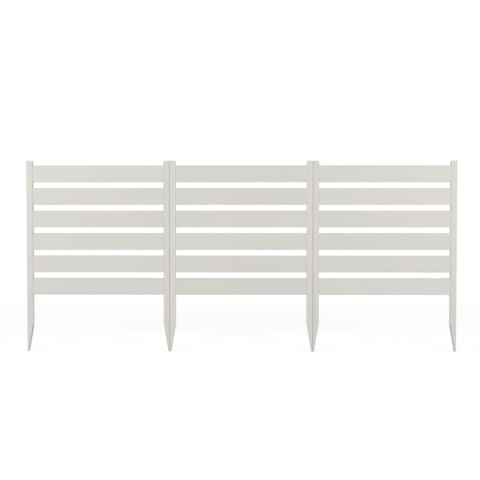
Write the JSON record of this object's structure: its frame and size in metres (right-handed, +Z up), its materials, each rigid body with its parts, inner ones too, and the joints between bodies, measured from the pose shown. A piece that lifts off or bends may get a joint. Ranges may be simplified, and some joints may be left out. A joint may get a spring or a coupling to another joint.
{
  "type": "slatted vinyl garden fence",
  "caption": "Low garden fence of push-in vinyl panels: wide hollow horizontal slats held in routed square tube posts that end in mitred stakes under flat caps.",
  "frame": {"origin": "on the flat foot of the left end post, at the middle of its outer wall's thickness and of the post's depth", "axes": "+X along the fence to the right seen from the front, +Y to the back, +Z up"},
  "size_m": [2.745, 0.039, 1.219],
  "materials": {
    "post_vinyl": "satin",
    "slat_vinyl": "satin",
    "cap_vinyl": "satin"
  },
  "bodies": {
    "root": {"left_panel_left_post": "post_vinyl", "left_panel_left_cap": "cap_vinyl", "left_panel_right_post": "post_vinyl", "left_panel_right_cap": "cap_vinyl", "left_panel_slat_1": "slat_vinyl", "left_panel_slat_2": "slat_vinyl", "left_panel_slat_3": "slat_vinyl", "left_panel_slat_4": "slat_vinyl", "left_panel_slat_5": "slat_vinyl", "left_panel_slat_6": "slat_vinyl", "middle_panel_left_post": "post_vinyl", "middle_panel_left_cap": "cap_vinyl", "middle_panel_right_post": "post_vinyl", "middle_panel_right_cap": "cap_vinyl", "middle_panel_slat_1": "slat_vinyl", "middle_panel_slat_2": "slat_vinyl", "middle_panel_slat_3": "slat_vinyl", "middle_panel_slat_4": "slat_vinyl", "middle_panel_slat_5": "slat_vinyl", "middle_panel_slat_6": "slat_vinyl", "right_panel_left_post": "post_vinyl", "right_panel_left_cap": "cap_vinyl", "right_panel_right_post": "post_vinyl", "right_panel_right_cap": "cap_vinyl", "right_panel_slat_1": "slat_vinyl", "right_panel_slat_2": "slat_vinyl", "right_panel_slat_3": "slat_vinyl", "right_panel_slat_4": "slat_vinyl", "right_panel_slat_5": "slat_vinyl", "right_panel_slat_6": "slat_vinyl"}
  },
  "joints": []
}
